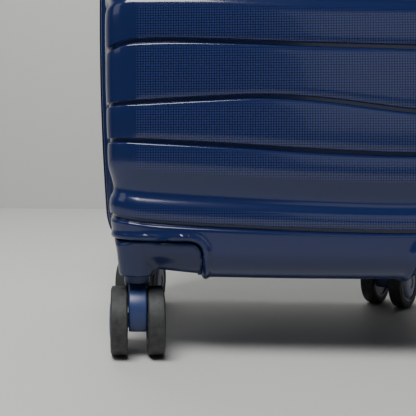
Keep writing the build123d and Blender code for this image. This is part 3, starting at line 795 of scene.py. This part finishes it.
TYRE = rounded([(BORE_R, TREAD_IN, 0), (25.4, TREAD_IN, 0.8), (25.9, TREAD_IN + 0.4, 0.3),
                (27.4, TREAD_IN + 0.9, 0.9), (27.5, TREAD_OUT - 0.9, 0.9),
                (25.9, TREAD_OUT - 0.4, 0.3), (25.4, TREAD_OUT, 0.8), (BORE_R, TREAD_OUT, 0)])
HUB = rounded([(2.6, TREAD_IN - 2.8, 0), (6.0, TREAD_IN - 2.8, 0.4), (6.0, TREAD_IN + 1.5, 1.0),
               (17.5, TREAD_IN + 1.5, 1.0), (18.6, TREAD_IN + 0.2, 0.3), (BORE_R, TREAD_IN + 0.2, 0.3),
               (BORE_R, TREAD_OUT - 0.2, 0.3), (19.4, TREAD_OUT - 0.2, 0.3), (18.9, TREAD_OUT - 1.4, 0.3),
               (17.2, TREAD_OUT - 1.4, 0.4), (16.4, TREAD_OUT - 0.2, 0.5), (13.2, TREAD_OUT + 0.9, 3.0),
               (5.6, TREAD_OUT + 1.45, 3.0), (5.1, TREAD_OUT + 0.6, 0.3), (0.02, TREAD_OUT + 0.6, 0),
               (0.02, TREAD_OUT - 1, 0), (2.6, TREAD_OUT - 1, 0)])


def caster_place(name):
    """Frame of a caster: the kingpin's foot on the floor, turned with the fork."""
    hand = -1 if "left" in name else 1
    side = -1 if "front" in name else 1
    return (Matrix.Translation((hand * PIN_X, side * PIN_Y, 0))
            @ Matrix.Rotation(radians(CASTER_TURN[name]), 4, "Z"))


def placed(points, matrix):
    turned = np.array(matrix.to_3x3())
    return np.asarray(points) @ turned.T + np.array(matrix.translation)


def fork_mesh():
    """Plate between the wheels, with a waist under the neck, and the round neck."""
    centre = Vector((-TRAIL, WHEEL_R))
    start = asin((WHEEL_R - FORK_FOOT) / FORK_R)
    low_y = FORK_R * cos(start)
    outline = [centre + Vector((low_y - 2.0, -(WHEEL_R - FORK_FOOT))), Vector((-22.5, FORK_FOOT)),
               Vector((-26.5, 24.2)), Vector((-29.4, 29.0))]
    for k in range(15):
        a = radians(184 - 78 * k / 14)
        outline.append(Vector((-9.0, 37.5)) + Vector((20.6 * cos(a), 19.0 * sin(a))))
    outline += [Vector((-9.9, 57.5)), Vector((9.9, 57.5)), Vector((9.9, 49.0))]
    for k in range(17):
        a = radians(38) - (radians(38) + start) * k / 16
        outline.append(centre + FORK_R * Vector((cos(a), sin(a))))
    bm = bmesh.new()
    low = [bm.verts.new((-FORK_HALF, y, z)) for y, z in outline]
    face = bm.faces.new(low)
    pulled = bmesh.ops.extrude_face_region(bm, geom=[face])
    moved = [v for v in pulled["geom"] if isinstance(v, bmesh.types.BMVert)]
    bmesh.ops.translate(bm, verts=moved, vec=(2 * FORK_HALF, 0, 0))
    bmesh.ops.recalc_face_normals(bm, faces=bm.faces)
    rim = [e for e in bm.edges if len(e.link_faces) == 2 and e.calc_face_angle(0) > radians(60)]
    bmesh.ops.bevel(bm, geom=rim, offset=1.3, segments=4, profile=0.5, affect="EDGES")
    bm.verts.index_update()
    points = [v.co[:] for v in bm.verts]
    faces = [[v.index for v in f.verts] for f in bm.faces]
    bm.free()
    neck, neck_faces = lathe(rounded([(4.1, 53.5, 0), (9.4, 53.5, 0.5), (NECK_R, 57.2, 1.2),
                                      (NECK_R, 62.6, 0.4), (9.9, 63.2, 0.3), (9.9, 65.4, 0.4),
                                      (4.1, 65.4, 0)]))
    start = len(points)
    return (np.vstack([np.array(points), neck]),
            faces + [tuple(i + start for i in f) for f in neck_faces])


# Cast polyurethane: matt dark grey, with dusty paler patches.
tyre_material, tree, shader = new_material("polyurethane_grey_tyre", Roughness=0.62, IOR=1.5)
place = add_node(tree, "ShaderNodeTexCoord")
dust = add_node(tree, "ShaderNodeTexNoise", None,
                {"Vector": place.outputs["Object"], "Scale": 160.0, "Detail": 6.0, "Roughness": 0.65})
patchy = add_node(tree, "ShaderNodeMapRange", None, {0: dust.outputs[0], 1: 0.35, 2: 0.7, 3: 0.0, 4: 1.0})
shade = add_node(tree, "ShaderNodeMix", {"data_type": "RGBA"},
                 {0: patchy.outputs[0], 6: srgb("1E1F1F"), 7: srgb("3A3B3C")})
fine = add_node(tree, "ShaderNodeTexNoise", None,
                {"Vector": place.outputs["Object"], "Scale": 1400.0, "Detail": 2.0})
bump = add_node(tree, "ShaderNodeBump", None,
                {"Strength": 0.35, "Distance": 0.0001, "Height": fine.outputs[0]})
tree.links.new(shade.outputs[2], shader.inputs["Base Color"])
tree.links.new(bump.outputs[0], shader.inputs["Normal"])
# Moulded blue plastics: the hubs shine a little more than the forks.
hub_material = grained_plastic("polypropylene_blue_hub", "2C3F70", 0.3, 0.5, 0.03)
fork_material = grained_plastic("nylon_blue_fork", "263765", 0.4, 0.6, 0.04)

fork_points, fork_faces = fork_mesh()
for name in CASTER_TURN:
    ground = caster_place(name)
    finish_piece(f"fork_{name}_moulded", placed(fork_points, ground), fork_faces,
                 f"caster_{name}", [f"fork_{name}"], fork_material, 35)
    for hand in (-1, 1):
        outer = hand == (-1 if "left" in name else 1)
        label = f"{name}_{'outer' if outer else 'inner'}"
        axle = ground @ Matrix.Translation((0, -TRAIL, WHEEL_R)) @ Matrix.Rotation(
            hand * pi / 2, 4, "Y")
        for part, profile, slot, material in (("tyre", TYRE, "tyre", tyre_material),
                                              ("hub", HUB, "hub", hub_material)):
            points, faces = lathe(profile)
            finish_piece(f"{part}_{label}_turned", placed(points, axle), faces, f"wheel_{label}",
                         [f"{part}_{label}"], material, 40)


# ================================================================ Linings
# Charcoal polyester lining, glued along the rims and loose on the walls, with a
# net pocket across the lid and a flap over the handle tubes in the base.
LINING_INSET = 7.6
LINING_THICK = 0.8
COVER_Y = 83.6                # the base's lining covers the handle tubes here
HOUSING_CLEAR = 7.0
POCKET = (112.0, 140.0, 450.0)


def fold(point, size, height):
    """Slack of loose fabric at a point in mm: low wandering folds."""
    spot = Vector((point[0] / size, point[1] / size, point[2] / size))
    return height * noise.noise(spot) + height * 0.4 * noise.noise(spot * 2.7)


def lining(half):
    side = SIDES[half]
    rows = np.arange(CUT_Z - MID_Z, MID_Z - CUT_Z + 1, 6.0)
    points, nominal, ring_of, quads, edge = base_pan(rows, column_marks())
    mesh = new_mesh("working", points, quads)
    normal = normals_of(mesh)
    if normal[0, 1] < 0:
        normal = -normal
        quads = [tuple(reversed(q)) for q in quads]
    bpy.data.meshes.remove(mesh)
    points = points - normal * LINING_INSET
    depth = points[:, 1]
    points[:, 2] += MID_Z
    slack = np.array([fold(p, 55.0, 0.9) for p in points]) * np.clip((depth - 12) / 15, 0, 1)
    points = points - normal * slack[:, None]
    if half == BASE:
        over = np.maximum(points[:, 1] - COVER_Y, 0)
        flat = over > 0
        points[flat, 1] = COVER_Y + np.clip(slack[flat], -0.5, 0.5)
        normal[flat] = (0, 1, 0)
    distance = corner_distance(points[:, 0], points[:, 1], points[:, 2])
    kept = [q for q in quads if min(distance[list(q)]) > HOUSING_CLEAR]
    points, faces = thickened(points, kept, normal, LINING_THICK)
    points = points * (1, side, 1)
    used = sorted({i for f in faces for i in f})
    renumber = {old: new for new, old in enumerate(used)}
    return points[used], [tuple(renumber[i] for i in f) for f in faces]


def woven(name, dark, light, pitch, depth, roughness, sheen=0.3):
    """Plain weave with its threads a pitch in mm apart, and uneven dye."""
    made, tree, shader = new_material(name, Roughness=roughness, Sheen_Weight=sheen,
                                      Sheen_Roughness=0.5, Specular_IOR_Level=0.3)
    place = add_node(tree, "ShaderNodeTexCoord")
    split = add_node(tree, "ShaderNodeSeparateXYZ", None, {0: place.outputs["Object"]})
    across = add_node(tree, "ShaderNodeMath", {"operation": "ADD"},
                      {0: split.outputs["X"], 1: split.outputs["Y"]})
    waves = []
    for socket in (across.outputs[0], split.outputs["Z"]):
        turn = add_node(tree, "ShaderNodeMath", {"operation": "MULTIPLY"},
                        {0: socket, 1: 2 * pi / (pitch * MM)})
        waves.append(add_node(tree, "ShaderNodeMath", {"operation": "SINE"}, {0: turn.outputs[0]}))
    cross = add_node(tree, "ShaderNodeMath", {"operation": "MULTIPLY"},
                     {0: waves[0].outputs[0], 1: waves[1].outputs[0]})
    dye = add_node(tree, "ShaderNodeTexNoise", None,
                   {"Vector": place.outputs["Object"], "Scale": 38.0, "Detail": 5.0})
    level = add_node(tree, "ShaderNodeMath", {"operation": "MULTIPLY_ADD"},
                     {0: cross.outputs[0], 1: 0.3, 2: dye.outputs[0]})
    tone = add_node(tree, "ShaderNodeMix", {"data_type": "RGBA"},
                    {0: level.outputs[0], 6: srgb(dark), 7: srgb(light)})
    bump = add_node(tree, "ShaderNodeBump", None,
                    {"Strength": 0.5, "Distance": depth * MM, "Height": cross.outputs[0]})
    tree.links.new(tone.outputs[2], shader.inputs["Base Color"])
    tree.links.new(bump.outputs[0], shader.inputs["Normal"])
    return made


# 210-denier polyester taffeta; its threads are drawn 0.9 mm apart so that they show.
lining_material = woven("polyester_lining_charcoal", "2A2C33", "454852", 0.9, 0.12, 0.7)
webbing_material = woven("polypropylene_webbing_black", "121317", "2A2C31", 1.6, 0.3, 0.6)
zip_material = woven("polyester_zip_tape_black", "0D0E11", "1D1F23", 0.8, 0.12, 0.65)
net_material = woven("polyester_net_black", "0E0F13", "34363E", 2.4, 0.5, 0.75)

for half, nodes in ((LID, ["front_lining"]), (BASE, ["rear_lining", "tube_cover"])):
    points, faces = lining(half)
    finish_piece(f"{nodes[0]}_sewn", points, faces, half, nodes, lining_material, 60)

# Net pocket, slack in the middle and bound all round, with a zip under its top edge.
half_width, foot, top = POCKET
face = -(FACE_Y - LINING_INSET - LINING_THICK)
grid_x, grid_z = np.linspace(-half_width, half_width, 61), np.linspace(foot, top, 81)
points = []
for z in grid_z:
    for x in grid_x:
        sag = (1 - (x / half_width) ** 2) * sin(pi * (z - foot) / (top - foot)) ** 0.7
        points.append((x, face + 1.6 + 4.0 * max(sag, 0) + fold((x, 0, z), 40.0, 0.7) * max(sag, 0), z))
points, faces = thickened(np.array(points), grid_faces(len(grid_z), len(grid_x)),
                          np.tile((0, 1.0, 0), (len(points), 1)), 0.5)
finish_piece("lid_pocket_net", points, faces, LID, [], net_material, 60)


def band(path, wide, thick, across):
    """Flat band along a path, rounded at its edges; across gives its width direction."""
    profile = [(-0.5, 0), (-0.47, 0.4), (-0.4, 0.5), (0.4, 0.5), (0.47, 0.4), (0.5, 0),
               (0.47, -0.4), (0.4, -0.5), (-0.4, -0.5), (-0.47, -0.4)]
    points, faces = [], []
    closed = (Vector(path[0]) - Vector(path[-1])).length < 1e-6
    path = [Vector(p) for p in (path[:-1] if closed else path)]
    n = len(path)
    for i, spot in enumerate(path):
        before = path[i - 1] if closed or i else path[i]
        after = path[(i + 1) % n] if closed or i < n - 1 else path[i]
        along = (after - before).normalized()
        side_way = Vector(across)
        if abs(along.dot(side_way)) > 0.9:
            side_way = along.cross(Vector(across).orthogonal())
        side_way = (side_way - along * along.dot(side_way)).normalized()
        up = along.cross(side_way)
        points += [spot + side_way * wide * a + up * thick * b for a, b in profile]
    k = len(profile)
    for i in range(n if closed else n - 1):
        j = (i + 1) % n
        faces += [(i * k + m, i * k + (m + 1) % k, j * k + (m + 1) % k, j * k + m) for m in range(k)]
    if not closed:
        faces += [tuple(range(k - 1, -1, -1)), tuple((n - 1) * k + m for m in range(k))]
    return np.array([p[:] for p in points]), faces


binding_y = face + 2.0
corners = ((-half_width, foot), (half_width, foot), (half_width, top), (-half_width, top))
bands_made = []
for (x0, z0), (x1, z1) in zip(corners, corners[1:] + corners[:1]):
    path = [(x0 + (x1 - x0) * t, binding_y, z0 + (z1 - z0) * t) for t in np.linspace(0, 1, 12)]
    bands_made.append(band(path, 12.0, 1.8, (0, 0, 1) if z0 == z1 else (1, 0, 0)))
path = [(x, binding_y + 1.6, top - 14) for x in np.linspace(-half_width + 6, half_width - 6, 12)]
bands_made.append(band(path, 5.0, 1.6, (0, 0, 1)))
points, faces = merge(*bands_made)
finish_piece("lid_pocket_binding", points, faces, LID, [], webbing_material, 60)

# Fabric hinge: one strip glued inside both left rims.
HINGE_Z = (150.0, 450.0)
points = []
rows_z, cols_y = np.linspace(*HINGE_Z, 61), np.linspace(9.4, -9.4, 15)
for z in rows_z:
    at = -(RIM_HALF_WIDTH - RIM_BOW * ((z - MID_Z) / RIM_HALF_HEIGHT) ** 2) + 4.6
    points += [(at + 1.2 * cos(pi * y / 19), y, z) for y in cols_y]
points, faces = thickened(np.array(points), grid_faces(len(rows_z), len(cols_y)),
                          np.tile((-1.0, 0, 0), (len(points), 1)), LINING_THICK)
mesh = new_mesh("hinge_strip", points * MM, faces)
mesh.materials.append(lining_material)
strip = bpy.data.objects.new("hinge_strip", mesh)
bpy.context.scene.collection.objects.link(strip)
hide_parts("hinge_tape")
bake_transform(strip)


# ================================================================ Zip
# Black coil zip in the split, sewn to both rims.  Each half of the coil follows its rim all the way round.
TOOTH_PITCH = 2.6
TOOTH = (1.1, 2.0, 1.3)       # mm along, across and out of the tape
ZIP_PROUD = 4.15
left, across, right, low = ring_curve(ring_sizes()[1], np.arange(CUT_Z - MID_Z, MID_Z - CUT_Z + 1, 8.0),
                                      column_marks())
outline = np.array(left + across + right[::-1] + low[::-1])
outward = outward_of(outline)


def tooth_mesh():
    """One rounded coil turn, lying across its tape."""
    bm = bmesh.new()
    bmesh.ops.create_cube(bm, size=1.0)
    bmesh.ops.scale(bm, vec=(TOOTH[1] * MM, TOOTH[0] * MM, TOOTH[2] * MM), verts=bm.verts)
    bmesh.ops.bevel(bm, geom=list(bm.edges), offset=0.32 * MM, segments=2, profile=0.5,
                    affect="EDGES")
    mesh = bpy.data.meshes.new("tooth")
    bm.to_mesh(mesh)
    bm.free()
    return bpy.data.objects.new("tooth", mesh)


def coil_group(tooth, material):
    """Nodes that set one tooth every Pitch along a curve and turn it with the curve."""
    group = bpy.data.node_groups.new("coil_along_curve", "GeometryNodeTree")
    group.interface.new_socket("Geometry", in_out="INPUT", socket_type="NodeSocketGeometry")
    pitch = group.interface.new_socket("Pitch", in_out="INPUT", socket_type="NodeSocketFloat")
    group.interface.new_socket("Geometry", in_out="OUTPUT", socket_type="NodeSocketGeometry")
    start = add_node(group, "NodeGroupInput")
    end = add_node(group, "NodeGroupOutput")
    path = add_node(group, "GeometryNodeMeshToCurve", None, {0: start.outputs["Geometry"]})
    even = add_node(group, "GeometryNodeResampleCurve", {"mode": "LENGTH"},
                    {0: path.outputs[0], "Length": start.outputs["Pitch"]})
    along = add_node(group, "GeometryNodeInputTangent")
    turn = add_node(group, "FunctionNodeAlignEulerToVector", {"axis": "Y", "pivot_axis": "AUTO"},
                    {"Vector": along.outputs[0]})
    source = add_node(group, "GeometryNodeObjectInfo", None, {"Object": tooth})
    set_out = add_node(group, "GeometryNodeInstanceOnPoints", None,
                       {"Points": even.outputs[0], "Instance": source.outputs["Geometry"],
                        "Rotation": turn.outputs[0]})
    real = add_node(group, "GeometryNodeRealizeInstances", None, {0: set_out.outputs[0]})
    paint = add_node(group, "GeometryNodeSetMaterial", None,
                     {"Geometry": real.outputs[0], "Material": material})
    group.links.new(paint.outputs[0], end.inputs[0])
    return group, pitch.identifier


coil_material = grained_plastic("nylon_coil_black", "101114", 0.38, 0.5, 0.03)
tooth = tooth_mesh()
bpy.context.scene.collection.objects.link(tooth)
group, pitch_id = coil_group(tooth, coil_material)
for half, node in ((LID, "front_zip_tape"), (BASE, "rear_zip_tape")):
    side = SIDES[half]
    ring = [(x, side * 1.55, z + MID_Z) for x, z in outline + outward * (ZIP_PROUD - 0.9)]
    points, faces = band(ring + ring[:1], 2.7, 1.7, (0, 1, 0))
    finish_piece(f"{node}_woven", points, faces, half, [node], zip_material, 60)
    line = [(x * MM, side * 0.95 * MM, (z + MID_Z) * MM) for x, z in outline + outward * ZIP_PROUD]
    mesh = bpy.data.meshes.new("coil_path")
    mesh.from_pydata(line, [(i, (i + 1) % len(line)) for i in range(len(line))], [])
    path_object = bpy.data.objects.new("coil_path", mesh)
    bpy.context.scene.collection.objects.link(path_object)
    modifier = path_object.modifiers.new("coil", "NODES")
    modifier.node_group = group
    modifier[pitch_id] = TOOTH_PITCH * MM
    bpy.context.view_layer.update()
    solid = bpy.data.meshes.new_from_object(
        path_object.evaluated_get(bpy.context.evaluated_depsgraph_get()))
    bpy.data.objects.remove(path_object)
    solid.materials.clear()
    solid.materials.append(coil_material)
    place_piece(f"{half}_zip_coil", solid, half, [])
bpy.data.objects.remove(tooth)


# ================================================================ Metal and trim
# Parts whose modelled shape is right keep it and get their real finish here: drawn
# aluminium tubes, zinc lock, steel pins, moulded grips and trim.
def brushed_metal(name, colour, roughness):
    """Metal with fine drawing lines that run up it."""
    made, tree, shader = new_material(name, Base_Color=srgb(colour), Metallic=1.0, Roughness=roughness)
    place = add_node(tree, "ShaderNodeTexCoord")
    stretch = add_node(tree, "ShaderNodeMapping", None,
                       {"Vector": place.outputs["Object"], "Scale": (2600, 2600, 25)})
    lines = add_node(tree, "ShaderNodeTexNoise", None,
                     {"Vector": stretch.outputs[0], "Scale": 1.0, "Detail": 2.0})
    uneven = add_node(tree, "ShaderNodeMapRange", None,
                      {0: lines.outputs[0], 1: 0.3, 2: 0.7, 3: roughness - 0.06, 4: roughness + 0.1})
    bump = add_node(tree, "ShaderNodeBump", None,
                    {"Strength": 0.15, "Distance": 0.00003, "Height": lines.outputs[0]})
    tree.links.new(uneven.outputs[0], shader.inputs["Roughness"])
    tree.links.new(bump.outputs[0], shader.inputs["Normal"])
    return made


FINISHES = {
    "tube": brushed_metal("aluminium_drawn_anodised", "B9BCC2", 0.3),
    "steel": brushed_metal("steel_zinc_plated", "9A9CA0", 0.35),
    "chrome": brushed_metal("zinc_chrome_plated", "D5D7DA", 0.14),
    "trim": grained_plastic("abs_black_textured", "17181C", 0.45, 0.5, 0.06),
    "grip": grained_plastic("tpe_navy_soft_touch", "161D36", 0.55, 0.4, 0.06),
    "button": grained_plastic("abs_grey_button", "6F737B", 0.35, 0.4, 0.03),
    "lock": grained_plastic("abs_black_lock_case", "1A1B20", 0.35, 0.4, 0.03),
    "dial": grained_plastic("abs_black_dial", "0F1013", 0.4, 0.4, 0.03),
    "webbing": webbing_material,
    "housing": housing_material,
    "fork": fork_material,
}
for entry in frame["record"]["subparts"]:
    kept = frame["nodes"][entry["node"]]
    if entry["material_slot"] in FINISHES and not kept.hide_render:
        kept.data.materials.clear()
        kept.data.materials.append(FINISHES[entry["material_slot"]])


# ================================================================ Studio
# Pale seamless floor and wall under broad soft lights.
floor_mesh = new_mesh("floor", [(-14, -14, 0), (14, -14, 0), (14, 1.46, 0), (-14, 1.46, 0),
                                (-14, 1.46, 9), (14, 1.46, 9)], [(0, 1, 2, 3), (3, 2, 5, 4)])
floor = bpy.data.objects.new("floor", floor_mesh)
bpy.context.scene.collection.objects.link(floor)
floor_material, tree, shader = new_material("studio_paint", Base_Color=srgb("C9C9C6"), Roughness=0.6)
floor_mesh.materials.append(floor_material)


def soft_light(name, place, aim, width, height, power):
    data = bpy.data.lights.new(name, "AREA")
    data.shape = "RECTANGLE"
    data.size, data.size_y = width, height
    data.energy = power
    light = bpy.data.objects.new(name, data)
    light.location = place
    light.rotation_euler = (Vector(aim) - Vector(place)).to_track_quat("-Z", "Y").to_euler()
    bpy.context.scene.collection.objects.link(light)
    return light


soft_light("overhead", (-0.5, -1.1, 2.2), (0.05, 0.0, 0.0), 1.3, 0.9, 72)
soft_light("left", (-2.2, -0.6, 1.6), (0, 0, 0.2), 1.2, 1.2, 5)
sheen = soft_light("front", (1.7, -2.7, 1.1), (0.1, 0, 0.25), 2.2, 1.6, 8.0)
sheen.visible_diffuse = False
soft_light("back", (-0.2, 0.9, 2.4), (0, 1.5, 0.3), 2.4, 0.6, 19)
world = bpy.data.worlds.new("studio")
world.use_nodes = True
world.node_tree.nodes["Background"].inputs[0].default_value = (0.75, 0.77, 0.8, 1)
world.node_tree.nodes["Background"].inputs[1].default_value = 0.06
bpy.context.scene.world = world
